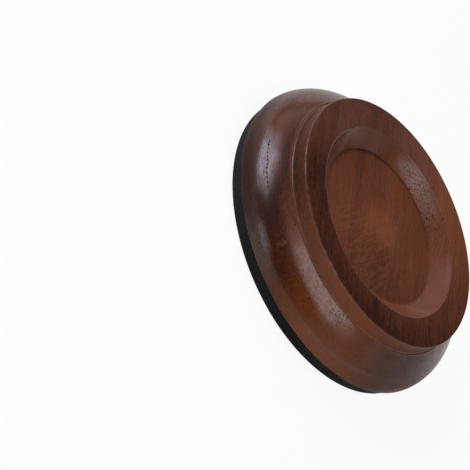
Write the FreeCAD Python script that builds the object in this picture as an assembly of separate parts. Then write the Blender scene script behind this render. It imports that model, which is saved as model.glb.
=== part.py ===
"""Castor cup: a turned wooden cup that spreads a castor's load, on a glued foam pad.

Millimetres. The origin is the centre of the pad's underside, +Z up along the turning axis.
Each piece is one closed half-section in the XZ plane, turned once round that axis.
"""
import FreeCAD, Part
import math
import os

# The wooden cup, outside
CUP_DIAMETER = 100.0        # widest, at the nose of the bead
WOOD_HEIGHT = 17.5          # underside of the wood to the rim
NOSE_RADIUS = 10.8          # section of the bead's round nose
NOSE_LIFT = 0.5             # widest line above the underside of the wood
NOSE_END_DEG = 45.0         # where the nose runs into the shoulder, seen from the nose's centre
BEAD_PROJECTION = 9.0       # widest line beyond the foot of the collar
COLLAR_HEIGHT = 5.1         # quirk to rim
COLLAR_LEAN = 0.25          # how far the collar leans in over its height
QUIRK_LEDGE = 0.5           # flat at the foot of the collar, where the shoulder stops
QUIRK_FILLET = 0.3          # inner corner between that flat and the collar
FOOT_EASING = 0.4           # sanded edge between the bead and the underside
RIM_EASING = 0.3            # sanded edge between the collar and the rim

# The wooden cup, inside
RIM_WIDTH = 9.45            # flat ring from the collar to the mouth of the dish
MOUTH_EASING = 0.8          # rounded edge between the rim and the dish wall
DISH_DEPTH = 4.7
DISH_WALL_RUN = 5.8         # mouth to floor edge, measured towards the axis
DISH_WALL_RADIUS = 14.0     # section of the hollow wall of the dish

# The foam pad
PAD_THICKNESS = 4.5
PAD_INSET = 1.2             # widest line of the wood beyond the edge of the pad

AXIS_POINT = FreeCAD.Vector(0.0, 0.0, 0.0)
AXIS = FreeCAD.Vector(0.0, 0.0, 1.0)
FULL_TURN = 360.0
PLACE_TOLERANCE = 1e-4


def at(radius, height):
    """Point of the half-section."""
    return FreeCAD.Vector(radius, 0.0, height)


def on_circle(centre, radius, angle):
    """Point of a section's circle, the angle counted up from the outward direction."""
    return at(centre.x + radius * math.cos(angle), centre.z + radius * math.sin(angle))


def line(start, end):
    """Straight edge of a section."""
    return Part.LineSegment(start, end).toShape()


def arc(centre, radius, start_angle, end_angle):
    """Round edge of a section about a centre, with its two ends."""
    middle_angle = 0.5 * (start_angle + end_angle)
    start = on_circle(centre, radius, start_angle)
    middle = on_circle(centre, radius, middle_angle)
    end = on_circle(centre, radius, end_angle)
    return Part.Arc(start, middle, end).toShape(), start, end


def bowed(start, end, rise):
    """Round edge between two points, its middle a rise to the right of the way from start to end."""
    way = end.sub(start)
    middle = start.add(end).multiply(0.5)
    right = at(way.z, -way.x).normalize()
    return Part.Arc(start, middle.add(right.multiply(rise)), end).toShape()


def rise_of_tangent(start, end, angle):
    """Rise of the round edge that leaves its start square to the direction given by an angle."""
    way = end.sub(start)
    turn = math.atan2(way.z, way.x) - (angle + 0.5 * math.pi)
    return 0.5 * way.Length * math.tan(0.5 * turn)


def rise_of_radius(start, end, radius):
    """Rise of the round edge of a given radius."""
    half_way = 0.5 * end.sub(start).Length
    return radius - math.sqrt(radius ** 2 - half_way ** 2)


def turned(edges):
    """Solid of one full turn of a closed half-section."""
    face = Part.Face(Part.Wire(edges))
    return face.revolve(AXIS_POINT, AXIS, FULL_TURN)


def turned_from(corner, edge):
    """Whether an edge of a solid is the circle that a corner of the section was turned into."""
    if not isinstance(edge.Curve, Part.Circle):
        return False
    same_radius = abs(edge.Curve.Radius - corner.x) < PLACE_TOLERANCE
    same_height = abs(edge.Curve.Center.z - corner.z) < PLACE_TOLERANCE
    return same_radius and same_height


def eased(solid, corner, radius):
    """Round the circular edge that a corner of the section was turned into."""
    edges = [edge for edge in solid.Edges if turned_from(corner, edge)]
    return solid.makeFillet(radius, edges)


def wood_cup():
    """Turned cup: bead with nose and shoulder, quirk, collar, flat rim and hollow dish."""
    underside = PAD_THICKNESS
    rim_height = underside + WOOD_HEIGHT
    quirk_height = rim_height - COLLAR_HEIGHT
    floor_height = rim_height - DISH_DEPTH
    cup_radius = 0.5 * CUP_DIAMETER
    collar_foot_radius = cup_radius - BEAD_PROJECTION
    rim_radius = collar_foot_radius - COLLAR_LEAN
    mouth_radius = rim_radius - RIM_WIDTH

    nose_centre = at(cup_radius - NOSE_RADIUS, underside + NOSE_LIFT)
    nose_start_angle = -math.asin(NOSE_LIFT / NOSE_RADIUS)
    nose_end_angle = math.radians(NOSE_END_DEG)
    nose, foot, nose_end = arc(nose_centre, NOSE_RADIUS, nose_start_angle, nose_end_angle)

    # The shoulder leaves the nose without a break and stops at the quirk.
    ledge_edge = at(collar_foot_radius + QUIRK_LEDGE, quirk_height)
    shoulder = bowed(nose_end, ledge_edge, rise_of_tangent(nose_end, ledge_edge, nose_end_angle))

    collar_foot = at(collar_foot_radius, quirk_height)
    rim = at(rim_radius, rim_height)
    mouth = at(mouth_radius, rim_height)
    floor_edge = at(mouth_radius - DISH_WALL_RUN, floor_height)
    floor_middle = at(0.0, floor_height)
    underside_middle = at(0.0, underside)
    dish_wall = bowed(mouth, floor_edge, -rise_of_radius(mouth, floor_edge, DISH_WALL_RADIUS))

    solid = turned([
        line(underside_middle, foot),
        nose,
        shoulder,
        line(ledge_edge, collar_foot),
        line(collar_foot, rim),
        line(rim, mouth),
        dish_wall,
        line(floor_edge, floor_middle),
        line(floor_middle, underside_middle),
    ])
    solid = eased(solid, foot, FOOT_EASING)
    solid = eased(solid, collar_foot, QUIRK_FILLET)
    solid = eased(solid, rim, RIM_EASING)
    return eased(solid, mouth, MOUTH_EASING)


def foam_pad():
    """Straight-cut disc, glued face to face under the wood."""
    pad_radius = 0.5 * CUP_DIAMETER - PAD_INSET
    bottom_middle = at(0.0, 0.0)
    bottom_edge = at(pad_radius, 0.0)
    top_edge = at(pad_radius, PAD_THICKNESS)
    top_middle = at(0.0, PAD_THICKNESS)
    return turned([
        line(bottom_middle, bottom_edge),
        line(bottom_edge, top_edge),
        line(top_edge, top_middle),
        line(top_middle, bottom_middle),
    ])


def main():
    """Write each piece as a STEP file named after its node."""
    os.makedirs("parts", exist_ok=True)
    pieces = {
        "wood_cup": wood_cup(),
        "foam_pad": foam_pad(),
    }
    for name, shape in pieces.items():
        shape.exportStep("parts/" + name + ".step")
        print(name, "valid", shape.isValid(), "volume mm3", round(shape.Volume, 1))


main()
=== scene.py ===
"""Castor cup: the looks of a turned, stained and lacquered wooden cup on a black foam pad.

Metres, in the part's own frame: +Z runs up the turning axis, out of the dish, and the origin is the
middle of the pad's underside. Each piece is one section carried once round that axis.
"""

import logging
import math
from dataclasses import dataclass
from enum import Enum, IntEnum
from functools import reduce
from typing import Sequence, Union

import bpy
import numpy as np
from mathutils import Matrix, Quaternion, Vector


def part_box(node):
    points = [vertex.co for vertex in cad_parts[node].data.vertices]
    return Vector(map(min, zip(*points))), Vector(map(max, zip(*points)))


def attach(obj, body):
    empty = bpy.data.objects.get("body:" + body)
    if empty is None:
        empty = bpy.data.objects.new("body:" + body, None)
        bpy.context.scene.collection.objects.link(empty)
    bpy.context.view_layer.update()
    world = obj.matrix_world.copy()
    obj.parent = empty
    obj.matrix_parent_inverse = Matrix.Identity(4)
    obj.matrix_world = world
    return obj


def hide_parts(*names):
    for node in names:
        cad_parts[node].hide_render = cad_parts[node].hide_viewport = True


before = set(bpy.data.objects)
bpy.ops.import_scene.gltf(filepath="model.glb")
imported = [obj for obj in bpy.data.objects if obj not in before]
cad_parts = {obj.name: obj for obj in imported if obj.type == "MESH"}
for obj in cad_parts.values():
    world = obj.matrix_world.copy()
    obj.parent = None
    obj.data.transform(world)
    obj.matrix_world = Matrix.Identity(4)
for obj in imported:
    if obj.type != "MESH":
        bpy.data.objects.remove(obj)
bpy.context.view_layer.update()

LOG = logging.getLogger("castor_cup")
MM = 0.001
SAME_POINT = 1e-6 * MM
FULL_TURN = 2.0 * math.pi

Colour = tuple[float, float, float]
Place = tuple[float, float, float]
Span = tuple[float, float]
Socket = bpy.types.NodeSocket
Feed = Union[Socket, float, Sequence[float]]
Feeds = dict[Union[str, int], Feed]

WHITE: Colour = (1.0, 1.0, 1.0)
RISING: Span = (0.0, 1.0)
FALLING: Span = (1.0, 0.0)
SIGNED: Span = (-0.5, 0.5)


class Trace(Enum):
    """Values that a piece's mesh carries at its points for its finish to read."""

    SECTION = "section_mm"
    STAIN_AND_SHADE = "stain_and_shade_depth"
    LACQUER = "lacquer_build"
    WEAR_AND_GLINT = "edge_wear_and_glint"


class Corner(Enum):
    """Corners of the cup's section, from the dish outwards."""

    FLOOR = "edge of the dish floor"
    MOUTH = "mouth of the dish"
    RIM = "outer edge of the rim"
    QUIRK = "foot of the collar"
    LEDGE = "end of the shoulder"


class Region(IntEnum):
    """Parts of the cup's skin, counted along its section from the underside to the dish floor."""

    UNDERSIDE = 0
    BEAD = 1
    COLLAR = 2
    RIM = 3
    WALL = 4
    FLOOR = 5


class Body(Enum):
    """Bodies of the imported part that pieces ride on."""

    ROOT = "root"


# Sections


def straight(start: np.ndarray, end: np.ndarray, count: int) -> np.ndarray:
    """Points of a straight run, spaced evenly from its start to its end.

    Args:
        start: Radius and height of the first point.
        end: Radius and height of the last point.
        count: Number of points.

    Returns:
        Array of points, one (radius, height) in each row.
    """
    share = np.linspace(0.0, 1.0, count)[:, None]
    return start + share * (end - start)


def arc(centre: np.ndarray, radius: float, angles: Span, count: int) -> np.ndarray:
    """Points of a circle's arc: the centre plus the radius times the cosine and sine of each angle.

    Args:
        centre: Radius and height of the circle's centre.
        radius: The circle's own radius.
        angles: First and last angle, in radians, counted up from the outward direction.
        count: Number of points.

    Returns:
        Array of points, one (radius, height) in each row.
    """
    angle = np.linspace(angles[0], angles[1], count)
    return centre + radius * np.stack([np.cos(angle), np.sin(angle)], axis=1)


def arc_between(start: np.ndarray, end: np.ndarray, rise: float, count: int) -> np.ndarray:
    """Points of the arc whose middle stands a rise to the right of the way from start to end.

    With half the way h, the circle's radius is (h squared plus rise squared) over twice the rise,
    and its centre lies that radius back from the arc's middle.

    Args:
        start: Radius and height of the first point.
        end: Radius and height of the last point.
        rise: Height of the arc over its chord, negative for an arc on the left.
        count: Number of points.

    Returns:
        Array of points, one (radius, height) in each row.
    """
    way = end - start
    half = 0.5 * np.linalg.norm(way)
    right = np.array([way[1], -way[0]]) / (2.0 * half)
    radius = (half**2 + rise**2) / (2.0 * rise)
    centre = 0.5 * (start + end) + (rise - radius) * right
    first, last = start - centre, end - centre
    first_angle = math.atan2(first[1], first[0])
    turn = math.atan2(first[0] * last[1] - first[1] * last[0], float(first @ last))
    return arc(centre, abs(radius), (first_angle, first_angle + turn), count)


def tangent_rise(start: np.ndarray, end: np.ndarray, angle: float) -> float:
    """Rise of the arc that leaves its start square to an outward angle.

    It is half the chord times the tangent of half the angle between the chord and that start.

    Args:
        start: Radius and height of the first point.
        end: Radius and height of the last point.
        angle: Outward angle at the start, in radians.

    Returns:
        The rise, in metres.
    """
    way = end - start
    turn = math.atan2(way[1], way[0]) - (angle + 0.5 * math.pi)
    return 0.5 * float(np.linalg.norm(way)) * math.tan(0.5 * turn)


def join(runs: Sequence[np.ndarray], easings: Sequence[float], count: int) -> np.ndarray:
    """Joins runs end to end and rounds each corner between them with a parabola.

    Each run gives way near a corner by the easing there. The parabola is (1-t) squared of the last
    point kept before, plus 2t(1-t) of the corner, plus t squared of the first point kept after.

    Args:
        runs: Arrays of section points, each starting where the one before it ends.
        easings: How far each corner's rounding reaches along both runs, one between each two runs.
        count: Number of points in each rounding.

    Returns:
        Array of points of the whole section.
    """
    ends = [0.0, *easings, 0.0]
    kept = [trimmed(run, before, after) for run, before, after in zip(runs, ends, ends[1:])]
    share = np.linspace(0.0, 1.0, count)[1:-1, None]
    rest = 1.0 - share
    pieces = [kept[0]]
    for before, corner, after in zip(kept, runs[1:], kept[1:]):
        rounding = rest**2 * before[-1] + 2.0 * share * rest * corner[0] + share**2 * after[0]
        pieces += [rounding, after]
    section = np.concatenate(pieces)
    step = np.linalg.norm(np.diff(section, axis=0), axis=1)
    return section[np.concatenate([[True], step > SAME_POINT])]


def trimmed(run: np.ndarray, before: float, after: float) -> np.ndarray:
    """A run shortened by a length at each end, with its points spaced as they were along it.

    Args:
        run: Section points.
        before: Length that is cut from the start.
        after: Length that is cut from the end.

    Returns:
        Array with as many points as the run.
    """
    length = lengths_along(run)
    kept = before + (length[-1] - before - after) * length / length[-1]
    return np.stack([np.interp(kept, length, part) for part in run.T], axis=1)


def lengths_along(section: np.ndarray) -> np.ndarray:
    """Length of the section from its first point to each of its points."""
    step = np.linalg.norm(np.diff(section, axis=0), axis=1)
    return np.concatenate([[0.0], np.cumsum(step)])


def smooth_step(value: np.ndarray, low: float, high: float) -> np.ndarray:
    """Zero under low, one over high, and 3t squared minus 2t cubed between them."""
    share = np.clip((value - low) / (high - low), 0.0, 1.0)
    return share * share * (3.0 - 2.0 * share)


# Turned meshes


@dataclass(frozen=True)
class Turned:
    """A section carried once round the axis, as points, faces and the grid that they came from."""

    points: np.ndarray
    faces: list[list[int]]
    row: np.ndarray
    angle: np.ndarray

    @classmethod
    def from_section(cls, section: np.ndarray, steps: int) -> "Turned":
        """Carries a section that starts and ends on the axis once round it.

        Point (i, j) is the section's point i turned by angle j: radius times cosine, radius times
        sine, height. The two ends on the axis are one point each, so the skin is closed.

        Args:
            section: Points from the axis at the bottom, outwards and up, to the axis at the top.
            steps: Number of angles in a full turn.

        Returns:
            The turned skin, with its faces pointing outwards.
        """
        angle = np.arange(steps) * FULL_TURN / steps
        ring = section[1:-1]
        rows = len(ring)
        x = ring[:, :1] * np.cos(angle)
        y = ring[:, :1] * np.sin(angle)
        z = np.broadcast_to(ring[:, 1:], x.shape)
        skin = np.stack([x, y, z], axis=-1).reshape(-1, 3)
        poles = np.array([[0.0, 0.0, section[0, 1]], [0.0, 0.0, section[-1, 1]]])
        points = np.concatenate([skin, poles])

        here = np.arange(steps)
        there = (here + 1) % steps
        below = np.arange(rows - 1)[:, None] * steps
        above = below + steps
        quads = np.stack([below + here, below + there, above + there, above + here], axis=-1)
        first_pole = np.full(steps, rows * steps)
        last_pole = first_pole + 1
        last_row = (rows - 1) * steps
        bottom = np.stack([first_pole, there, here], axis=-1)
        top = np.stack([last_row + here, last_row + there, last_pole], axis=-1)
        faces = quads.reshape(-1, 4).tolist() + bottom.tolist() + top.tolist()

        row = np.concatenate([np.repeat(np.arange(1, rows + 1), steps), [0, rows + 1]])
        angles = np.concatenate([np.tile(angle, rows), [0.0, 0.0]])
        return cls(points, faces, row, angles)

    def to_object(
        self, name: str, traces: dict[Trace, np.ndarray], crease_deg: float
    ) -> bpy.types.Object:
        """Makes a Blender object at the origin, smooth except along creases.

        Args:
            name: The object's name.
            traces: Values at the points, by the name that the finish reads.
            crease_deg: Angle between faces above which their edge stays a crease, in degrees.

        Returns:
            The object, linked to the scene.
        """
        mesh = bpy.data.meshes.new(name)
        mesh.from_pydata(self.points.tolist(), [], self.faces)
        for trace, values in traces.items():
            attribute = mesh.attributes.new(trace.value, "FLOAT", "POINT")
            attribute.data.foreach_set("value", values.astype(np.float32))
        mesh.shade_smooth()
        mesh.set_sharp_from_angle(angle=math.radians(crease_deg))
        mesh.validate()
        made = bpy.data.objects.new(name, mesh)
        bpy.context.scene.collection.objects.link(made)
        return made


# Shader graphs


class Graph:
    """Adds and links the nodes of one material, node group or world."""

    # Blender's numbers for the colour sockets of its mix node
    MIX_FIRST, MIX_SECOND, MIX_RESULT = 6, 7, 2

    def __init__(self, tree: bpy.types.NodeTree) -> None:
        """Takes the node tree to work in and empties it."""
        self.tree = tree
        tree.nodes.clear()

    def feed(self, socket: Socket, value: Feed) -> None:
        """Gives a socket its value.

        Args:
            socket: The input to feed.
            value: A socket to link it to, or a plain value.
        """
        if isinstance(value, bpy.types.NodeSocket):
            self.tree.links.new(value, socket)
        else:
            socket.default_value = value

    def add(self, kind: str, feeds: Feeds, **settings: object) -> bpy.types.Node:
        """Adds a node.

        Args:
            kind: Blender's name for the node type.
            feeds: Links and values for its inputs, by name or number.
            settings: Values for its other properties.

        Returns:
            The new node.
        """
        node = self.tree.nodes.new(kind)
        for name, value in settings.items():
            setattr(node, name, value)
        for name, value in feeds.items():
            self.feed(node.inputs[name], value)
        return node

    def math(self, operation: str, first: Feed, second: Feed = 0.0) -> Socket:
        """Result of a calculation on one or two values."""
        return self.add("ShaderNodeMath", {0: first, 1: second}, operation=operation).outputs[0]

    def times(self, first: Feed, second: Feed) -> Socket:
        """One value times another."""
        return self.math("MULTIPLY", first, second)

    def total(self, value: Feed, parts: Sequence[tuple[Feed, float]]) -> Feed:
        """A value plus some others, each times its share."""
        return reduce(lambda whole, part: self.math("ADD", whole, self.times(*part)), parts, value)

    def most(self, values: Sequence[Feed]) -> Feed:
        """The greatest of some values."""
        return reduce(lambda first, second: self.math("MAXIMUM", first, second), values)

    def span(self, value: Feed, start: tuple[Feed, Feed], end: tuple[Feed, Feed]) -> Socket:
        """A value carried smoothly from one span to another, and held at that span's ends."""
        feeds = {
            "Value": value,
            "From Min": start[0],
            "From Max": start[1],
            "To Min": end[0],
            "To Max": end[1],
        }
        return self.add("ShaderNodeMapRange", feeds, interpolation_type="SMOOTHSTEP").outputs["Result"]

    def scaled(self, vector: Feed, scale: Feed) -> Socket:
        """A vector multiplied part by part."""
        return self.add("ShaderNodeVectorMath", {0: vector, 1: scale}, operation="MULTIPLY").outputs[0]

    def tiled(self, vector: Feed, sizes: Sequence[float]) -> Socket:
        """A place counted in tiles of three sizes."""
        return self.scaled(vector, tuple(1.0 / size for size in sizes))

    def place_mm(self) -> Socket:
        """Place in the part's frame, in millimetres."""
        return self.tiled(self.add("ShaderNodeTexCoord", {}).outputs["Object"], (MM,) * 3)

    def trace(self, trace: Trace) -> Socket:
        """Value that the piece's mesh carries at its points."""
        return self.add("ShaderNodeAttribute", {}, attribute_name=trace.value).outputs["Fac"]

    def noise(
        self, vector: Feed, detail: float, roughness: float = 0.5, distortion: float = 0.0
    ) -> Socket:
        """Cloudy noise about 0.5, one cloud to each unit of the vector."""
        feeds = {
            "Vector": vector,
            "Scale": 1.0,
            "Detail": detail,
            "Roughness": roughness,
            "Distortion": distortion,
        }
        return self.add("ShaderNodeTexNoise", feeds).outputs[0]

    def mix(self, blend: str, factor: Feed, first: Feed, second: Feed) -> Socket:
        """Two colours mixed by a factor."""
        feeds = {0: factor, self.MIX_FIRST: opaque(first), self.MIX_SECOND: opaque(second)}
        mixed = self.add("ShaderNodeMix", feeds, data_type="RGBA", blend_type=blend)
        return mixed.outputs[self.MIX_RESULT]

    def bump(self, strength: float, distance: float, height: Feed) -> Socket:
        """Normal of a surface with a fine relief, in which a height of one stands for a distance."""
        feeds = {"Strength": strength, "Distance": distance, "Height": height}
        return self.add("ShaderNodeBump", feeds).outputs[0]

    def group(self, tree: bpy.types.NodeTree, feeds: Feeds) -> Socket:
        """First output of a node group that is placed here with its own values."""
        return self.add("ShaderNodeGroup", feeds, node_tree=tree).outputs[0]

    def surface(self, feeds: Feeds) -> None:
        """Ends a material with the shader that both finishes use."""
        shader = self.add("ShaderNodeBsdfPrincipled", feeds).outputs[0]
        self.add("ShaderNodeOutputMaterial", {"Surface": shader})


def opaque(colour: Feed) -> Feed:
    """A plain colour with full cover added, or a link as it is."""
    return colour if isinstance(colour, bpy.types.NodeSocket) else (*colour, 1.0)


def about(middle: float, swing: float) -> Span:
    """Span from a swing below a middle to a swing above it."""
    return (middle - swing, middle + swing)


def new_group(
    name: str, inputs: dict[str, str], output: str
) -> tuple[Graph, bpy.types.Node, Socket]:
    """Starts a shader node group with named inputs and one value out.

    Args:
        name: The group's name.
        inputs: Socket type of each input, by name.
        output: Name of its output.

    Returns:
        The group's graph, its input node and the socket that takes the result.
    """
    tree = bpy.data.node_groups.new(name, "ShaderNodeTree")
    graph = Graph(tree)
    for label, kind in inputs.items():
        tree.interface.new_socket(name=label, in_out="INPUT", socket_type=kind)
    tree.interface.new_socket(name=output, in_out="OUTPUT", socket_type="NodeSocketFloat")
    entry = graph.add("NodeGroupInput", {})
    leave = graph.add("NodeGroupOutput", {})
    return graph, entry, leave.inputs[output]


class Effects:
    """Node groups that both finishes use."""

    PIT_CORE = 0.55
    PATCH_DETAIL = 3.0

    def __init__(self) -> None:
        """Builds each group once."""
        self.pit_group = self.make_pits()
        self.patch_group = self.make_patches()

    def make_pits(self) -> bpy.types.NodeTree:
        """Scattered pits: a share of cells hold one spot each, one within its size and zero outside.

        Returns:
            The node group, with Vector, Share, Size and Jitter in and Mask out.
        """
        inputs = {
            "Vector": "NodeSocketVector",
            "Share": "NodeSocketFloat",
            "Size": "NodeSocketFloat",
            "Jitter": "NodeSocketFloat",
        }
        graph, entry, result = new_group("pits", inputs, "Mask")
        vector, share, size, jitter = (entry.outputs[name] for name in inputs)
        feeds = {"Vector": vector, "Scale": 1.0, "Randomness": jitter}
        cells = graph.add("ShaderNodeTexVoronoi", feeds)
        chance = graph.add("ShaderNodeSeparateColor", {0: cells.outputs["Color"]}).outputs[0]
        held = graph.math("LESS_THAN", chance, share)
        core = graph.times(size, self.PIT_CORE)
        spot = graph.span(cells.outputs["Distance"], (core, size), FALLING)
        graph.feed(result, graph.times(held, spot))
        return graph.tree

    def make_patches(self) -> bpy.types.NodeTree:
        """Soft patches: cloudy noise, drawn out between a lower and an upper level.

        Returns:
            The node group, with Vector, Low and High in and Mask out.
        """
        inputs = {"Vector": "NodeSocketVector", "Low": "NodeSocketFloat", "High": "NodeSocketFloat"}
        graph, entry, result = new_group("patches", inputs, "Mask")
        vector, low, high = (entry.outputs[name] for name in inputs)
        graph.feed(result, graph.span(graph.noise(vector, self.PATCH_DETAIL), (low, high), RISING))
        return graph.tree

    def pits(self, graph: Graph, vector: Feed, share: Feed, size: float, jitter: float = 1.0) -> Socket:
        """Places scattered pits in a finish, one cell to each unit of the vector."""
        feeds = {"Vector": vector, "Share": share, "Size": size, "Jitter": jitter}
        return graph.group(self.pit_group, feeds)

    def patches(self, graph: Graph, vector: Feed, levels: Span) -> Socket:
        """Places soft patches in a finish, drawn out between two levels."""
        return graph.group(self.patch_group, {"Vector": vector, "Low": levels[0], "High": levels[1]})


def new_material(name: str) -> tuple[bpy.types.Material, Graph]:
    """Starts a material.

    Args:
        name: The material's name.

    Returns:
        The material and its graph, which is still empty.
    """
    material = bpy.data.materials.new(name)
    material.use_nodes = True
    return material, Graph(material.node_tree)


# Finishes


@dataclass(frozen=True)
class Patch:
    """Egg-shaped place in the wood, in millimetres along the fibres, across them and up.

    Its core, a share of its reach, has the patch's full strength.
    """

    centre: Place
    reach: Place
    core: float = 0.45

    def mask(self, graph: Graph, fibre: Socket) -> Socket:
        """One at the middle of the patch and zero beyond its reach.

        The mask falls with the length of the way from the centre, divided part by part by the reach.

        Args:
            graph: The graph to add nodes to.
            fibre: Place in the fibres' own directions, in millimetres.

        Returns:
            The socket that gives the mask.
        """
        per_reach = tuple(1.0 / part for part in self.reach)
        shift = tuple(-middle * part for middle, part in zip(self.centre, per_reach))
        feeds = {0: fibre, 1: per_reach, 2: shift}
        way = graph.add("ShaderNodeVectorMath", feeds, operation="MULTIPLY_ADD").outputs[0]
        length = graph.add("ShaderNodeVectorMath", {0: way}, operation="LENGTH").outputs["Value"]
        return graph.span(length, (self.core, 1.0), FALLING)


@dataclass(frozen=True)
class VesselRow:
    """A vessel that the lathe laid open: a row of short pits along the fibres, in millimetres.

    The row has its middle and half its length along the fibres, a place across them that says on which
    side of the cup it lies, and a place along the section. From near on, the values are shares: of a pit's
    width within which the row fades out, of a step that pits stray, of the steps that hold a pit, of a step
    that a pit takes, and of the half length that has pits at full strength.
    """

    middle: float
    half_length: float
    across: float
    section: float
    pit_step: float = 1.5
    pit_width: float = 0.72
    near: Span = (0.40, 0.55)
    jitter: float = 0.35
    share: float = 0.72
    size: float = 0.40
    core: float = 0.8

    def mask(self, graph: Graph, effects: Effects, fibre: Socket, section: Socket) -> Socket:
        """One in a pit of the row and zero beside it.

        Args:
            graph: The graph to add nodes to.
            effects: The shared node groups.
            fibre: Place in the fibres' own directions, in millimetres.
            section: Length along the section, in millimetres.

        Returns:
            The socket that gives the mask.
        """
        along, across, _ = graph.add("ShaderNodeSeparateXYZ", {0: fibre}).outputs
        aside = graph.math("SUBTRACT", section, self.section)
        shift = 0.5 * self.jitter
        step = graph.math("DIVIDE", along, self.pit_step)
        row = graph.math("ADD", graph.math("DIVIDE", aside, self.pit_width), shift)
        line = graph.add("ShaderNodeCombineXYZ", {0: step, 1: row, 2: shift}).outputs[0]
        dots = effects.pits(graph, line, self.share, self.size, self.jitter)

        near = tuple(self.pit_width * share for share in self.near)
        beside = graph.span(graph.math("ABSOLUTE", aside), near, FALLING)
        away = graph.math("ABSOLUTE", graph.math("SUBTRACT", along, self.middle))
        within = graph.span(away, (self.core * self.half_length, self.half_length), FALLING)
        off_side = graph.math("ABSOLUTE", graph.math("SUBTRACT", across, self.across))
        side = graph.math("LESS_THAN", off_side, self.half_length)
        return graph.times(dots, graph.times(graph.times(beside, within), side))


@dataclass(frozen=True)
class Grain:
    """One layer of the wood's grain: cloudy noise with its own sizes in three directions, in millimetres.

    The middle of the noise's range, a swing to each side of one half, is drawn out to the layer's whole
    range. The last three say how far the layer deepens the stain, raises the surface and thickens the
    lacquer.
    """

    size_mm: Place
    detail: float
    roughness: float
    swing: float
    distortion: float = 0.0
    tone: float = 0.0
    relief: float = 0.0
    cover: float = 0.0

    def clouds(self, graph: Graph, place: Socket) -> Socket:
        """The layer's value at a place, from -0.5 to 0.5."""
        tiles = graph.tiled(place, self.size_mm)
        noise = graph.noise(tiles, self.detail, self.roughness, self.distortion)
        return graph.span(noise, about(0.5, self.swing), SIGNED)


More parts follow.
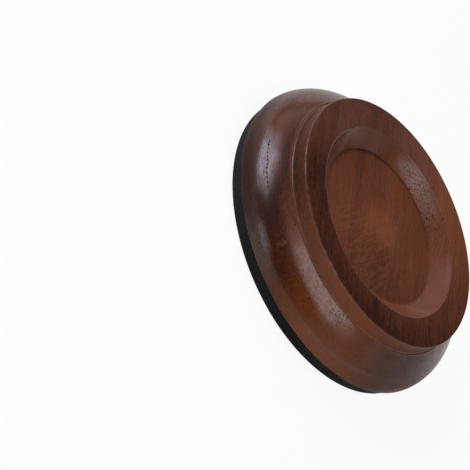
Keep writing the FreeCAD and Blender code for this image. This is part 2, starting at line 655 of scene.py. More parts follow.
@dataclass(frozen=True)
class StainedWood:
    """Walnut-brown stain on fine hardwood under a satin lacquer; its tone also carries painted shade, light
    and sheen.

    The fibres run straight across the cup at one angle. Sizes of the grain are in millimetres, along
    the fibres, across them and up.
    """

    fibre_turn_deg: float = 45.0
    light: Colour = (0.185, 0.061, 0.027)
    dark: Colour = (0.028, 0.0092, 0.0056)
    # This bluish tint paints a sheen into the tone, in the patches further down.
    sheen_tint: Colour = (0.98, 1.12, 1.6)
    warm: Colour = (1.0, 0.80, 0.50)
    # Pale tone of wear and scuffs, and of a painted highlight along the front edges.
    worn_and_glint: Colour = (0.20, 0.095, 0.06)

    figure: Grain = Grain((110.0, 9.0, 9.0), 3.0, 0.55, 0.20, 0.5, tone=0.18)
    streak: Grain = Grain((9.0, 0.60, 0.60), 2.0, 0.60, 0.30, tone=0.18, relief=0.50, cover=1.0)
    mottle: Grain = Grain((1.7, 0.65, 0.65), 3.0, 0.65, 0.25, tone=0.18, relief=0.28, cover=0.6)
    ripple: Grain = Grain((0.65, 5.0, 5.0), 1.0, 0.50, 0.20, tone=0.20, relief=0.35)
    lathe_lines_per_mm: float = 2.2
    lathe_detail: float = 3.0
    lathe_relief: float = 0.10

    pore_mm: Place = (1.1, 0.48, 0.48)
    pore_size: float = 0.47
    pore_strength: float = 0.72
    pore_row_mm: Place = (45.0, 3.2, 3.2)
    pore_row_levels: Span = (0.50, 0.72)
    row_pore_share: float = 0.09
    patch_pore_share: float = 0.80
    pore_tone: float = 0.75
    pore_relief: float = -0.9
    pore_roughness: float = 0.3
    pore_cover: float = -0.95

    rub_per_mm: Place = (0.35, 0.6, 0.6)
    rub_levels: Span = (0.35, 0.65)
    mark_strength: float = 0.2

    roughness: float = 0.42
    roughness_swing: float = 0.04
    body_gloss: float = 0.03
    lacquer_roughness: float = 0.185
    lacquer_ior: float = 1.5
    relief: float = 0.06 * MM
    relief_strength: float = 0.6

    vessel_rows: tuple[VesselRow, ...] = (VesselRow(4.0, 9.5, -47.1, 58.4),)
    pore_patches: tuple[Patch, ...] = (
        Patch((-24.0, 13.0, 19.3), (10.0, 8.5, 2.6)),
        Patch((-15.8, 22.5, 19.0), (7.0, 6.5, 2.2)),
        Patch((41.0, -12.0, 15.8), (5.0, 7.0, 2.5)),
    )
    # Painted sheen: these patches tint the tone bluish on the rim, the bead and the dish wall.
    sheen_patches: tuple[Patch, ...] = (
        Patch((-34.6, -12.0, 22.6), (62.0, 54.0, 1.5)),
        Patch((35.2, 29.6, 11.0), (24.0, 30.0, 12.0)),
        Patch((-14.0, -24.2, 20.0), (16.0, 13.0, 2.4)),
    )
    warm_patches: tuple[Patch, ...] = (
        Patch((37.4, -29.2, 11.5), (20.0, 20.0, 5.0)),
        # The last two warm patches paint shade along the dish floor's edge by the wall.
        Patch((-7.7, 21.1, 15.86), (14.0, 14.0, 2.0)),
        Patch((-20.4, 9.5, 15.86), (14.0, 14.0, 2.0)),
    )
    ripple_patches: tuple[Patch, ...] = (Patch((14.0, -6.5, 17.3), (22.0, 20.0, 3.0)),)
    marks: tuple[Patch, ...] = (
        Patch((28.50, -37.90, 11.95), (0.75, 0.75, 0.75)),
        Patch((28.30, -37.15, 12.80), (0.9, 0.9, 0.9)),
        Patch((27.60, -36.70, 13.40), (0.8, 0.8, 0.8)),
        Patch((14.9, -14.1, 17.3), (0.4, 0.4, 0.4)),
        Patch((-7.0, 25.9, 18.0), (0.5, 0.5, 0.5)),
        Patch((-25.8, -17.0, 21.5), (0.5, 0.5, 0.5)),
    )

    def material(self, effects: Effects) -> bpy.types.Material:
        """Makes the finish.

        Args:
            effects: The shared node groups.

        Returns:
            The material.
        """
        material, graph = new_material("stained_wood")
        place = graph.place_mm()
        turn = (0.0, 0.0, math.radians(self.fibre_turn_deg))
        fibre = graph.add("ShaderNodeMapping", {"Vector": place, "Rotation": turn}).outputs[0]
        streak = self.streak.clouds(graph, fibre)
        where = self.within(graph, fibre, self.ripple_patches)
        layers = (
            (self.figure, self.figure.clouds(graph, fibre)),
            (self.streak, streak),
            (self.mottle, self.mottle.clouds(graph, fibre)),
            (self.ripple, graph.times(self.ripple.clouds(graph, place), where)),
        )
        pores = self.pores(graph, effects, fibre)

        tones = [(value, grain.tone) for grain, value in layers]
        # The traced depth holds the stain and the cup's painted shade and light.
        depth = graph.total(graph.trace(Trace.STAIN_AND_SHADE), [*tones, (pores, self.pore_tone)])
        tone = graph.mix("MIX", depth, self.light, self.dark)
        for patches, cast in ((self.sheen_patches, self.sheen_tint), (self.warm_patches, self.warm)):
            for patch in patches:
                tone = graph.mix("MULTIPLY", patch.mask(graph, fibre), tone, cast)
        # Pale wear and scuffs; along the front of the mouth and rim the wear also paints a highlight.
        tone = graph.mix("MIX", self.bare(graph, effects, fibre), tone, self.worn_and_glint)

        reliefs = [(value, grain.relief) for grain, value in layers]
        height = graph.total(self.lathe_lines(graph), [*reliefs, (pores, self.pore_relief)])
        rough = graph.span(streak, SIGNED, about(self.roughness, self.roughness_swing))
        uneven = graph.total(1.0, [(value, grain.cover) for grain, value in layers])
        cover = graph.times(graph.total(1.0, [(pores, self.pore_cover)]), uneven)
        graph.surface(
            {
                "Base Color": tone,
                "Roughness": graph.total(rough, [(pores, self.pore_roughness)]),
                "Specular IOR Level": self.body_gloss,
                "Coat Weight": graph.times(graph.trace(Trace.LACQUER), cover),
                "Coat Roughness": self.lacquer_roughness,
                "Coat IOR": self.lacquer_ior,
                "Normal": graph.bump(self.relief_strength, self.relief, height),
            }
        )
        return material

    def pores(self, graph: Graph, effects: Effects, fibre: Socket) -> Feed:
        """Open pores: short pits along the fibres, a few all over and many in rows and patches.

        Args:
            graph: The graph to add nodes to.
            effects: The shared node groups.
            fibre: Place in the fibres' own directions, in millimetres.

        Returns:
            The socket that gives up to one in a pore and zero beside it.
        """
        rows = effects.patches(graph, graph.tiled(fibre, self.pore_row_mm), self.pore_row_levels)
        in_rows = graph.span(rows, RISING, (0.0, self.row_pore_share))
        in_patches = graph.times(self.within(graph, fibre, self.pore_patches), self.patch_pore_share)
        share = graph.most([in_rows, in_patches])
        pits = effects.pits(graph, graph.tiled(fibre, self.pore_mm), share, self.pore_size)
        section = graph.trace(Trace.SECTION)
        vessels = [row.mask(graph, effects, fibre, section) for row in self.vessel_rows]
        return graph.most([graph.times(pits, self.pore_strength), *vessels])

    def bare(self, graph: Graph, effects: Effects, fibre: Socket) -> Feed:
        """Pale wood: stain gone in patches along the edges, also a painted highlight on the front, and a
        few scuffs.

        Args:
            graph: The graph to add nodes to.
            effects: The shared node groups.
            fibre: Place in the fibres' own directions, in millimetres.

        Returns:
            The socket that gives one where the wood is drawn pale and zero where it is stained.
        """
        wear_and_glint = effects.patches(graph, graph.scaled(fibre, self.rub_per_mm), self.rub_levels)
        scuffed = graph.times(self.within(graph, fibre, self.marks), self.mark_strength)
        return graph.most([graph.times(graph.trace(Trace.WEAR_AND_GLINT), wear_and_glint), scuffed])

    def lathe_lines(self, graph: Graph) -> Socket:
        """Fine rings that the lathe's tool left: noise by the length along the section.

        Args:
            graph: The graph to add nodes to.

        Returns:
            The socket that gives the rings' height.
        """
        feeds = {
            "W": graph.trace(Trace.SECTION),
            "Scale": self.lathe_lines_per_mm,
            "Detail": self.lathe_detail,
        }
        rings = graph.add("ShaderNodeTexNoise", feeds, noise_dimensions="1D").outputs[0]
        return graph.times(rings, self.lathe_relief)

    @staticmethod
    def within(graph: Graph, fibre: Socket, patches: Sequence[Patch]) -> Feed:
        """One at the middle of any of the patches and zero beyond them."""
        return graph.most([patch.mask(graph, fibre) for patch in patches])


@dataclass(frozen=True)
class BlackFoam:
    """Matte closed-cell foam with fine cells, cloudy patches and a few pale specks, in millimetres."""

    face: Colour = (0.0095, 0.0095, 0.0095)
    deep: Colour = (0.005, 0.005, 0.0052)
    speck: Colour = (0.11, 0.11, 0.11)
    cell_mm: Place = (0.5, 0.5, 0.5)
    cell_share: float = 0.75
    cell_size: float = 0.62
    cell_tone: float = 0.7
    patch_mm: Place = (9.0, 9.0, 9.0)
    patch_levels: Span = (0.3, 0.7)
    patch_shades: Span = (0.75, 0.95)
    speck_mm: Place = (5.0, 5.0, 5.0)
    speck_share: float = 0.35
    speck_size: float = 0.045
    grain_per_mm: Place = (2.6, 2.6, 2.6)
    grain_detail: float = 3.0
    grain_roughness: float = 0.6
    grain_levels: Span = (0.3, 0.7)
    grain_shades: Span = (0.0, 0.3)
    grain_relief: float = 0.6
    roughness: float = 0.88
    roughness_swing: float = 0.06
    gloss: float = 0.18
    relief: float = 0.2 * MM
    relief_strength: float = 0.5

    def material(self, effects: Effects) -> bpy.types.Material:
        """Makes the finish.

        Args:
            effects: The shared node groups.

        Returns:
            The material.
        """
        material, graph = new_material("black_foam")
        place = graph.place_mm()
        cells = effects.pits(graph, graph.tiled(place, self.cell_mm), self.cell_share, self.cell_size)
        spots = graph.tiled(place, self.speck_mm)
        specks = effects.pits(graph, spots, self.speck_share, self.speck_size)
        patch = effects.patches(graph, graph.tiled(place, self.patch_mm), self.patch_levels)
        clouds = graph.scaled(place, self.grain_per_mm)
        grain = graph.noise(clouds, self.grain_detail, self.grain_roughness)

        tone = graph.mix("MIX", graph.times(cells, self.cell_tone), self.face, self.deep)
        cloudy = graph.span(patch, RISING, self.patch_shades)
        shade = graph.math("ADD", cloudy, graph.span(grain, self.grain_levels, self.grain_shades))
        tone = graph.mix("MULTIPLY", 1.0, tone, shade)
        height = graph.math("SUBTRACT", graph.times(grain, self.grain_relief), cells)
        graph.surface(
            {
                "Base Color": graph.mix("MIX", specks, tone, self.speck),
                "Roughness": graph.span(patch, RISING, about(self.roughness, self.roughness_swing)),
                "Specular IOR Level": self.gloss,
                "Normal": graph.bump(self.relief_strength, self.relief, height),
            }
        )
        return material


Finish = Union[StainedWood, BlackFoam]


# Pieces


@dataclass
class Piece:
    """What every piece of the part has: the node that it stands for and the slot of its finish."""

    node: str
    slot: str

    def dress(self, piece: bpy.types.Object, finish: Finish, effects: Effects) -> None:
        """Gives the piece its finish, hangs it on the root body and hides the imported node it stands for.

        Args:
            piece: The piece's object.
            finish: Its finish.
            effects: The shared node groups.
        """
        piece.data.materials.append(finish.material(effects))
        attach(piece, Body.ROOT.value)
        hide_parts(self.node)


@dataclass(frozen=True)
class Bell:
    """A swell round the cup about one angle.

    It is a height times e to the power of a focus times the cosine of the angle from its middle less
    one, so it has its full height at its middle.
    """

    height: float
    middle_deg: float
    focus: float

    def at(self, angle: np.ndarray) -> np.ndarray:
        """Height at each angle round the cup."""
        away = angle - math.radians(self.middle_deg)
        return self.height * np.exp(self.focus * (np.cos(away) - 1.0))


@dataclass(frozen=True)
class Swell:
    """A value round the cup: a level with bells on it."""

    level: float
    bells: tuple[Bell, ...] = ()

    def at(self, angle: np.ndarray) -> np.ndarray:
        """The value at each angle round the cup: the level plus its bells."""
        return self.level + sum((bell.at(angle) for bell in self.bells), np.zeros_like(angle))


@dataclass(frozen=True)
class Zone(Swell):
    """How one part of the turned skin is finished: depth of stain and painted shade and light, and lacquer
    build.
    """

    lacquer: float = 0.0


@dataclass(frozen=True)
class CupLines:
    """Heights over the part's floor and radii of the lines that the cup is turned to, in metres."""

    underside: float
    rim_height: float
    quirk_height: float
    floor_height: float
    cup: float
    ledge: float
    foot: float
    rim: float
    mouth: float
    floor: float

    def corners(self) -> dict[Corner, np.ndarray]:
        """Radius and height of each corner of the section."""
        return {
            Corner.FLOOR: np.array([self.floor, self.floor_height]),
            Corner.MOUTH: np.array([self.mouth, self.rim_height]),
            Corner.RIM: np.array([self.rim, self.rim_height]),
            Corner.QUIRK: np.array([self.foot, self.quirk_height]),
            Corner.LEDGE: np.array([self.ledge, self.quirk_height]),
        }


class Survey:
    """Where the points of the cup's turned skin lie, as values from 0 to 1 that its finish follows."""

    def __init__(self, cup: "WoodCup", section: np.ndarray, skin: Turned) -> None:
        """Measures the points of a skin.

        Args:
            cup: The cup, with its sizes.
            section: Points of its section.
            skin: The turned section.
        """
        self.cup, self.lines = cup, cup.lines()
        self.corners = self.lines.corners()
        self.angle = skin.angle
        self.places = section[skin.row]
        self.radius, self.height = self.places.T
        self.lift = self.height - self.lines.underside
        self.on_bead = self.radius > self.lines.foot
        self.region = self.regions()

    def regions(self) -> np.ndarray:
        """Number of the region that each point lies in.

        Returns:
            The numbers, one for each point.
        """
        cup, lines = self.cup, self.lines
        under_rim = self.height < lines.rim_height - 0.5 * cup.rim_easing
        tests = {
            Region.UNDERSIDE: self.lift < cup.underside_limit,
            Region.BEAD: self.radius > lines.foot + cup.bead_limit,
            Region.COLLAR: under_rim & (self.radius > lines.rim - cup.rim_easing),
            Region.RIM: self.radius > lines.mouth,
            Region.WALL: self.radius > lines.floor,
        }
        return np.select(list(tests.values()), list(tests), default=Region.FLOOR)

    def near(self, reach: float, *corners: Corner) -> np.ndarray:
        """How near a point is to any of the corners: e to the minus square of the way over a reach."""
        ways = [np.linalg.norm(self.places - self.corners[corner], axis=1) for corner in corners]
        return np.exp(-((np.min(ways, axis=0) / reach) ** 2))

    def nose(self, fall: Span) -> np.ndarray:
        """How low a point of the bead lies: 1 under a span of heights and 0 over it."""
        return (1.0 - smooth_step(self.lift, *fall)) * self.on_bead

    def waist(self) -> np.ndarray:
        """How near a point of the bead is to the line between its nose and its shoulder."""
        return smooth_step(self.lift, *self.cup.waist_rise) * self.nose(self.cup.waist_fall)

    def shoulder(self) -> np.ndarray:
        """How near a point of the bead is to the end of its shoulder."""
        share = 1.0 - smooth_step(self.radius - self.lines.foot, *self.cup.shoulder_fall)
        return share * self.on_bead * (self.region != Region.UNDERSIDE)

    def rim_edge(self) -> np.ndarray:
        """How near a point of the rim is to the rim's outer edge."""
        over_collar = self.height > self.lines.rim_height - self.cup.rim_easing
        on_rim = (self.radius < self.lines.rim) & over_collar
        return smooth_step(self.radius, self.lines.mouth, self.lines.rim) * on_rim

    def dish_shade(self) -> np.ndarray:
        """How far a point of the dish floor is from its middle."""
        return smooth_step(self.radius, *self.cup.floor_rise) * (self.region == Region.FLOOR)


@dataclass
class WoodCup(Piece):
    """Turned cup: bead with nose and shoulder, quirk, collar, flat rim and hollow dish, in metres.

    The zones and swells say how the skin is finished at each angle round the cup; some bells paint shade
    and light into the stain. A stain below zero is lighter, and a swell called bare or dull takes lacquer
    away.
    """

    node: str = "wood_cup"
    slot: str = "stained_wood"

    # Sizes
    nose_radius: float = 10.8 * MM
    nose_lift: float = 0.5 * MM
    nose_end_deg: float = 45.0
    bead_projection: float = 9.0 * MM
    collar_height: float = 5.1 * MM
    collar_lean: float = 0.25 * MM
    quirk_ledge: float = 0.5 * MM
    quirk_easing: float = 0.252 * MM
    foot_easing: float = 0.4 * MM
    shoulder_easing: float = 0.08 * MM
    rim_easing: float = 0.3 * MM
    rim_width: float = 9.45 * MM
    mouth_easing: float = 0.5 * MM
    dish_depth: float = 4.7 * MM
    dish_wall_run: float = 5.8 * MM
    dish_wall_radius: float = 26.0 * MM
    dish_floor_easing: float = 0.6 * MM

    # Points of the mesh
    steps: int = 400
    nose_points: int = 40
    fine_points: int = 24
    flat_points: int = 12
    collar_points: int = 10
    ledge_points: int = 3
    easing_points: int = 9
    crease_deg: float = 28.0

    # Stain and lacquer of each region
    underside: Zone = Zone(0.50)
    bead: Zone = Zone(
        0.50,
        (
            # Painted shade: this first bell darkens the bead's left side.
            Bell(0.50, 250.0, 4.5),
            Bell(-0.36, 301.0, 12.0),
            Bell(0.34, 335.0, 6.0),
            Bell(0.20, 172.0, 4.0),
        ),
        lacquer=0.54,
    )
    # Painted light: the first bell lightens the collar's front; painted shade: the second darkens its left.
    collar: Zone = Zone(0.75, (Bell(-0.80, 292.0, 5.0), Bell(0.20, 243.0, 12.0)), lacquer=0.06)
    rim: Zone = Zone(
        0.88, (Bell(-0.58, 82.0, 2.0), Bell(0.17, 228.0, 20.0), Bell(-0.20, 198.0, 6.0)), lacquer=0.16
    )
    wall: Zone = Zone(0.39, (Bell(0.22, 185.0, 2.0), Bell(0.10, 74.0, 12.0)), lacquer=0.54)
    floor: Zone = Zone(0.24, lacquer=0.15)

    # Stain, and painted shade and light, that come on top of a region's own
    # Painted shade on the dish floor, deepening towards the wall.
    dish_shade: Swell = Swell(
        0.15, (Bell(0.25, 325.0, 3.0), Bell(0.16, 172.0, 3.0), Bell(0.09, 75.0, 2.5))
    )
    # Painted shade in the crease between the dish floor and the wall.
    floor_crease_shade: Bell = Bell(0.38, 145.0, 1.0)
    rim_edge: Bell = Bell(0.16, 318.0, 3.0)
    # Painted shade: a dark line along the rim's outer edge on the right.
    rim_line_shade: Bell = Bell(0.55, 68.0, 1.6)
    # Painted light and shade at the quirk: paler along it, with a painted shadow line on the front.
    quirk: Swell = Swell(-0.35, (Bell(0.75, 276.0, 12.0), Bell(0.30, 335.0, 8.0)))
    # Painted shade low on the bead's left side.
    nose_shade: Bell = Bell(0.24, 215.0, 4.0)
    foot_light: Bell = Bell(-0.34, 295.0, 6.0)
    waist_light: Bell = Bell(-0.06, 285.0, 20.0)
    shoulder_tones: Swell = Swell(0.0, (Bell(-0.34, 262.0, 10.0), Bell(0.08, 216.0, 12.0)))
    # Wear that also paints a pale highlight on the front of the mouth and rim.
    wear_and_glint: Bell = Bell(0.45, 262.0, 1.5)

    # Lacquer that differs from a region's own
    foot_lacquer: Swell = Swell(0.2, (Bell(1.40, 260.0, 56.0),))
    mouth_gloss: Bell = Bell(0.80, 206.0, 6.0)
    nose_bare: Bell = Bell(0.90, 350.0, 6.0)
    waist_bare: Bell = Bell(0.90, 283.0, 12.0)
    shoulder_bare: Bell = Bell(0.80, 216.0, 30.0)
    wall_bare: Swell = Swell(
        0.0,
        (
            Bell(0.50, 197.0, 14.0),
            Bell(0.45, 18.0, 6.0),
            Bell(0.56, 90.0, 40.0),
            Bell(0.25, 122.0, 40.0),
        ),
    )
    quirk_dull: Bell = Bell(0.75, 276.0, 12.0)
    rim_dull: Bell = Bell(1.0, 68.0, 1.6)
    mouth_thinning: float = 0.25
    floor_thinning: float = 0.35
    edge_gather: float = 0.35

    # How far they reach from a corner of the section
    line_reach: float = 0.35 * MM
    floor_line_reach: float = 0.45 * MM
    rim_dull_reach: float = 0.5 * MM
    quirk_gather_reach: float = 0.25 * MM
    mouth_gloss_reach: float = 0.6 * MM
    mouth_thin_reach: float = 1.3 * MM
    floor_thin_reach: float = 3.0 * MM

    # Where they rise and fall: over the underside, out from the foot of the collar and from the axis
    foot_lacquer_rise: Span = (2.0 * MM, 6.2 * MM)
    foot_light_fall: Span = (2.2 * MM, 5.5 * MM)
    nose_shade_fall: Span = (3.2 * MM, 8.0 * MM)
    nose_bare_fall: Span = (4.2 * MM, 10.5 * MM)
    waist_rise: Span = (4.0 * MM, 7.0 * MM)
    waist_fall: Span = (8.7 * MM, 9.8 * MM)
    shoulder_fall: Span = (2.25 * MM, 4.95 * MM)
    floor_rise: Span = (2.55 * MM, 11.475 * MM)

    # Limits of regions, over the underside and out from the foot of the collar
    underside_limit: float = 0.01 * MM
    bead_limit: float = 0.2 * MM

    def lines(self) -> CupLines:
        """Works out the turned lines from the node's box in the frame and the cup's own sizes.

        Returns:
            The lines.
        """
        low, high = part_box(self.node)
        foot = high.x - self.bead_projection
        rim = foot - self.collar_lean
        mouth = rim - self.rim_width
        return CupLines(
            underside=low.z,
            rim_height=high.z,
            quirk_height=high.z - self.collar_height,
            floor_height=high.z - self.dish_depth,
            cup=high.x,
            ledge=foot + self.quirk_ledge,
            foot=foot,
            rim=rim,
            mouth=mouth,
            floor=mouth - self.dish_wall_run,
        )

    def section(self) -> np.ndarray:
        """Section from the middle of the underside out and up to the middle of the dish floor.

        Returns:
            Array of points, one (radius, height) in each row.
        """
        lines = self.lines()
        floor, mouth, rim, quirk, ledge = lines.corners().values()
        nose_centre = np.array([lines.cup - self.nose_radius, lines.underside + self.nose_lift])
        nose_start = -math.asin(self.nose_lift / self.nose_radius)
        nose_end = math.radians(self.nose_end_deg)
        nose = arc(nose_centre, self.nose_radius, (nose_start, nose_end), self.nose_points)
        half_wall = 0.5 * float(np.linalg.norm(floor - mouth))
        wall_rise = self.dish_wall_radius - math.sqrt(self.dish_wall_radius**2 - half_wall**2)
        runs = [
            straight(np.array([0.0, lines.underside]), nose[0], self.flat_points),
            nose,
            arc_between(nose[-1], ledge, tangent_rise(nose[-1], ledge, nose_end), self.fine_points),
            straight(ledge, quirk, self.ledge_points),
            straight(quirk, rim, self.collar_points),
            straight(rim, mouth, self.flat_points),
            arc_between(mouth, floor, -wall_rise, self.fine_points),
            straight(floor, np.array([0.0, lines.floor_height]), self.fine_points),
        ]
        easings = [
            self.foot_easing,
            0.0,
            self.shoulder_easing,
            self.quirk_easing,
            self.rim_easing,
            self.mouth_easing,
            self.dish_floor_easing,
        ]
        return join(runs, easings, self.easing_points)

    def build(self) -> bpy.types.Object:
        """Makes the piece's mesh, with at its points: section place, stain with painted shade and light,
        lacquer, wear with painted glint.

        Returns:
            The object.
        """
        section = self.section()
        skin = Turned.from_section(section, self.steps)
        survey = Survey(self, section, skin)
        worn_and_glint = survey.near(self.line_reach, Corner.MOUTH, Corner.RIM)
        traces = {
            Trace.SECTION: (lengths_along(section) / MM)[skin.row],
            Trace.STAIN_AND_SHADE: self.stain(survey),
            Trace.LACQUER: self.lacquer(survey),
            Trace.WEAR_AND_GLINT: worn_and_glint * self.wear_and_glint.at(skin.angle),
        }
        return skin.to_object("turned_cup", traces, self.crease_deg)

    def zones(self) -> tuple[Zone, ...]:
        """The zone of each region, in the order of the regions."""
        return (self.underside, self.bead, self.collar, self.rim, self.wall, self.floor)

    def stain(self, skin: Survey) -> np.ndarray:
        """Depth of stain and painted shade and light: each region's own, and what comes on top along lines
        and edges.

        Args:
            skin: Where the points of the skin lie.

        Returns:
            Depth for each point: 0 for the light tone and 1 for the dark one.
        """
        by_zone = np.stack([zone.at(skin.angle) for zone in self.zones()])
        depth = by_zone[skin.region, np.arange(len(skin.region))]
        casts = (
            (skin.near(self.line_reach, Corner.LEDGE, Corner.QUIRK), self.quirk),
            (skin.near(self.line_reach, Corner.RIM), self.rim_line_shade),
            (skin.near(self.floor_line_reach, Corner.FLOOR), self.floor_crease_shade),
            (skin.waist(), self.waist_light),
            (skin.dish_shade(), self.dish_shade),
            (skin.rim_edge(), self.rim_edge),
            (skin.nose(self.nose_shade_fall), self.nose_shade),
            (skin.nose(self.foot_light_fall), self.foot_light),
            (skin.shoulder(), self.shoulder_tones),
        )
        return depth + sum(share * swell.at(skin.angle) for share, swell in casts)

    def lacquer(self, skin: Survey) -> np.ndarray:
        """Build of the lacquer: thin low on the bead, full on its shoulder, gathered in and on corners.

        Args:
            skin: Where the points of the skin lie.

        Returns:
            Build for each point: 0 for bare wood and 1 for a full coat.
        """
        build = np.array([zone.lacquer for zone in self.zones()])[skin.region]
        thin = 1.0 - self.mouth_thinning * skin.near(self.mouth_thin_reach, Corner.MOUTH)
        thin -= self.floor_thinning * skin.near(self.floor_thin_reach, Corner.FLOOR)
        foot = self.foot_lacquer.at(skin.angle)
        low = foot + (1.0 - foot) * smooth_step(skin.lift, *self.foot_lacquer_rise)
        bared = (
            (skin.nose(self.nose_bare_fall), self.nose_bare),
            (skin.waist(), self.waist_bare),
            (skin.shoulder(), self.shoulder_bare),
            (skin.region == Region.WALL, self.wall_bare),
        )
        bare = np.max([share * swell.at(skin.angle) for share, swell in bared], axis=0)
        coat = build * thin * low * (1.0 - bare)

        coat += skin.near(self.mouth_gloss_reach, Corner.MOUTH) * self.mouth_gloss.at(skin.angle)
        edges = self.edge_gather * skin.near(self.line_reach, Corner.RIM, Corner.LEDGE)
        coat += np.maximum(edges, skin.near(self.quirk_gather_reach, Corner.QUIRK))
        dull = skin.near(self.line_reach, Corner.QUIRK, Corner.LEDGE) * self.quirk_dull.at(skin.angle)
        dull += skin.near(self.rim_dull_reach, Corner.RIM) * self.rim_dull.at(skin.angle)
        return coat * (1.0 - dull)


@dataclass
class FoamPad(Piece):
    """Die-cut foam disc under the wood: flat, with a cut edge that is slightly hollow, in metres."""

    node: str = "foam_pad"
    slot: str = "black_foam"
    bottom_easing: float = 0.35 * MM
    top_easing: float = 0.175 * MM
    cut_hollow: float = 0.12 * MM
    steps: int = 400
    face_points: int = 24
    cut_points: int = 16
    top_points: int = 12
    easing_points: int = 8
    crease_deg: float = 40.0

    def section(self) -> np.ndarray:
        """Section from the middle of the underside, out and up the cut edge, to the middle of the top.

        Returns:
            Array of points, one (radius, height) in each row.
        """
        low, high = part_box(self.node)
        bottom_edge = np.array([high.x, low.z])
        top_edge = np.array([high.x, high.z])
        runs = [
            straight(np.array([0.0, low.z]), bottom_edge, self.face_points),
            arc_between(bottom_edge, top_edge, -self.cut_hollow, self.cut_points),
            straight(top_edge, np.array([0.0, high.z]), self.top_points),
        ]
        return join(runs, [self.bottom_easing, self.top_easing], self.easing_points)

    def build(self) -> bpy.types.Object:
        """Makes the piece's mesh."""
        skin = Turned.from_section(self.section(), self.steps)
        return skin.to_object("foam_disc", {}, self.crease_deg)

    def dress(self, piece: bpy.types.Object, finish: Finish, effects: Effects) -> None:
        """Dresses the piece as any other."""
        super().dress(piece, finish, effects)


# Studio


@dataclass(frozen=True)
class Softbox:
    """Flat soft light that faces the cup from a direction, in degrees and metres."""

    name: str
    azimuth: float
    elevation: float
    distance: float
    width: float
    height: float
    radiance: float
    tint: Colour = WHITE
    roll: float = 0.0

    def build(self, aim: Vector) -> bpy.types.Object:
        """Hangs the light.

        The power of a flat light is its radiance times its area times pi.

        Args:
            aim: Point that it faces.

        Returns:
            The light's object.
        """
        azimuth, elevation = math.radians(self.azimuth), math.radians(self.elevation)
        level = math.cos(elevation)
        out = Vector((level * math.cos(azimuth), level * math.sin(azimuth), math.sin(elevation)))
        lamp = bpy.data.lights.new(self.name, "AREA")
        lamp.shape = "RECTANGLE"
        lamp.size, lamp.size_y = self.width, self.height
        lamp.color = self.tint
        lamp.energy = self.radiance * self.width * self.height * math.pi
        made = bpy.data.objects.new(self.name, lamp)
        made.location = aim + out * self.distance
        made.rotation_mode = "QUATERNION"
        roll = Quaternion((0.0, 0.0, 1.0), math.radians(self.roll))
        made.rotation_quaternion = out.to_track_quat("Z", "Y") @ roll
        made.visible_camera = False
        bpy.context.scene.collection.objects.link(made)
        return made


@dataclass(frozen=True)
class ViewingCamera:
    """Camera at the photograph's place: its eye, the directions of its picture and its lens."""

    eye: Place = (0.0, -0.498490, 0.321761)
    right: Place = (0.390987, 0.543256, 0.742968)
    up: Place = (-0.920040, 0.208229, 0.331915)
    lens: float = 144.262
    sensor: float = 36.0

    def build(self) -> bpy.types.Object:
        """Sets up the camera and makes it the scene's own.

        Returns:
            The camera's object.
        """
        right, up = Vector(self.right).normalized(), Vector(self.up).normalized()
        back = right.cross(up)
        turn = Matrix((right, up, back)).transposed()
        data = bpy.data.cameras.new("viewing_camera")
        data.lens = self.lens
        data.sensor_width = self.sensor
        made = bpy.data.objects.new("viewing_camera", data)
        made.matrix_world = Matrix.LocRotScale(Vector(self.eye), turn.to_quaternion(), None)
        bpy.context.scene.collection.objects.link(made)
        bpy.context.scene.camera = made
        return made


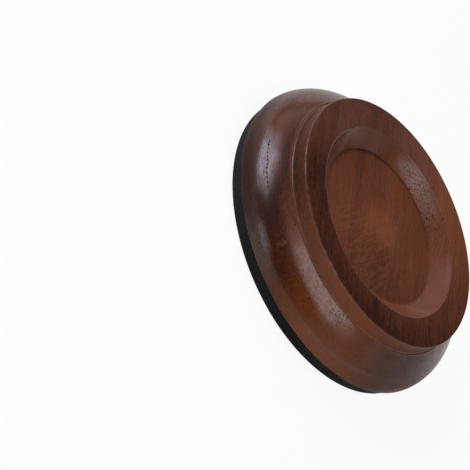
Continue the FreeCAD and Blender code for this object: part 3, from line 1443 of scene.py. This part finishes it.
@dataclass(frozen=True)
class Studio:
    """White sweep, soft lights and camera."""

    aim: Place = (0.0, 0.0, 0.012)
    sweep_radius: float = 6.0
    sweep_bend: float = 0.5
    sweep_height: float = 1.0
    sweep_drop: float = 0.1 * MM
    sweep_steps: int = 128
    floor_points: int = 40
    wall_points: int = 12
    bend_points: int = 16
    crease_deg: float = 60.0
    sweep_tone: Colour = (0.8, 0.8, 0.8)
    shadow_share: float = 0.10
    room_tone: Colour = (0.04, 0.04, 0.04)
    softboxes: tuple[Softbox, ...] = (
        Softbox("top_softbox", 190.0, 25.0, 0.70, 0.60, 0.40, 3.6, (0.83, 0.83, 1.0)),
        Softbox("top_core", 191.0, 27.0, 0.66, 0.32, 0.38, 5.5, (0.83, 0.83, 1.0)),
        Softbox("axis_softbox", 319.0, 70.3, 0.74, 0.56, 0.40, 3.4, (1.0, 0.97, 0.98), -49.0),
        Softbox("axis_halo", 319.0, 70.3, 0.76, 0.84, 0.40, 0.9, (1.0, 0.97, 0.98), -49.0),
        Softbox("low_card", 336.0, 16.0, 0.80, 1.30, 0.50, 0.50, (1.0, 0.95, 0.88)),
        Softbox("far_card", 35.0, 27.0, 0.70, 0.60, 0.45, 0.55),
        Softbox("side_card", 138.0, 38.0, 0.70, 0.50, 0.56, 0.9),
        Softbox("left_card", 247.0, 8.0, 0.70, 0.22, 0.30, 2.2),
    )

    def build(self) -> None:
        """Sets up the sweep, the lights, the room's own level and the camera."""
        self.sweep()
        for softbox in self.softboxes:
            softbox.build(Vector(self.aim))
        self.room()
        ViewingCamera().build()
        bpy.context.scene.view_settings.view_transform = "Standard"

    def sweep(self) -> bpy.types.Object:
        """Round white floor that bends up into a low wall far from the cup.

        Returns:
            The sweep's object.
        """
        floor = -self.sweep_drop
        corner = np.array([self.sweep_radius, floor])
        top = np.array([self.sweep_radius, floor + self.sweep_height])
        runs = [
            straight(np.array([0.0, floor]), corner, self.floor_points),
            straight(corner, top, self.wall_points),
        ]
        section = join(runs, [self.sweep_bend], self.bend_points)
        lid = np.array([[0.0, section[-1, 1]]])
        skin = Turned.from_section(np.concatenate([section, lid]), self.sweep_steps)
        # The sweep is an open bowl seen from inside: no lid, and its faces point up.
        inside = [face[::-1] for face in skin.faces[: -self.sweep_steps]]
        bowl = Turned(skin.points[:-1], inside, skin.row[:-1], skin.angle[:-1])
        made = bowl.to_object("sweep", {}, self.crease_deg)
        made.data.materials.append(self.sweep_material())
        return made

    def sweep_material(self) -> bpy.types.Material:
        """White to the eye and in reflections, pale to the light, with the cup's shadow kept.

        Returns:
            The material.
        """
        material, graph = new_material("white_sweep")
        path = graph.add("ShaderNodeLightPath", {})
        rays = ("Is Camera Ray", "Is Glossy Ray", "Is Transmission Ray")
        seen = graph.most([path.outputs[ray] for ray in rays])
        share = graph.times(seen, 1.0 - self.shadow_share)
        pale = graph.add("ShaderNodeBsdfDiffuse", {"Color": opaque(self.sweep_tone)}).outputs[0]
        glow = {"Color": opaque(WHITE), "Strength": 1.0}
        white = graph.add("ShaderNodeEmission", glow).outputs[0]
        surface = graph.add("ShaderNodeMixShader", {0: share, 1: pale, 2: white}).outputs[0]
        graph.add("ShaderNodeOutputMaterial", {"Surface": surface})
        return material

    def room(self) -> None:
        """Dim grey room round the sweep."""
        world = bpy.data.worlds.new("room")
        world.use_nodes = True
        graph = Graph(world.node_tree)
        feeds = {"Color": opaque(self.room_tone), "Strength": 1.0}
        level = graph.add("ShaderNodeBackground", feeds).outputs[0]
        graph.add("ShaderNodeOutputWorld", {"Surface": level})
        bpy.context.scene.world = world


def main() -> None:
    """Builds the pieces in order, then the studio."""
    logging.basicConfig(level=logging.INFO, format="%(name)s: %(message)s")
    effects = Effects()
    for maker, finish in ((WoodCup(), StainedWood()), (FoamPad(), BlackFoam())):
        piece = maker.build()
        maker.dress(piece, finish, effects)
        LOG.info("%s stands for %s with %d faces", piece.name, maker.node, len(piece.data.polygons))
    Studio().build()


if __name__ == "__main__":
    main()
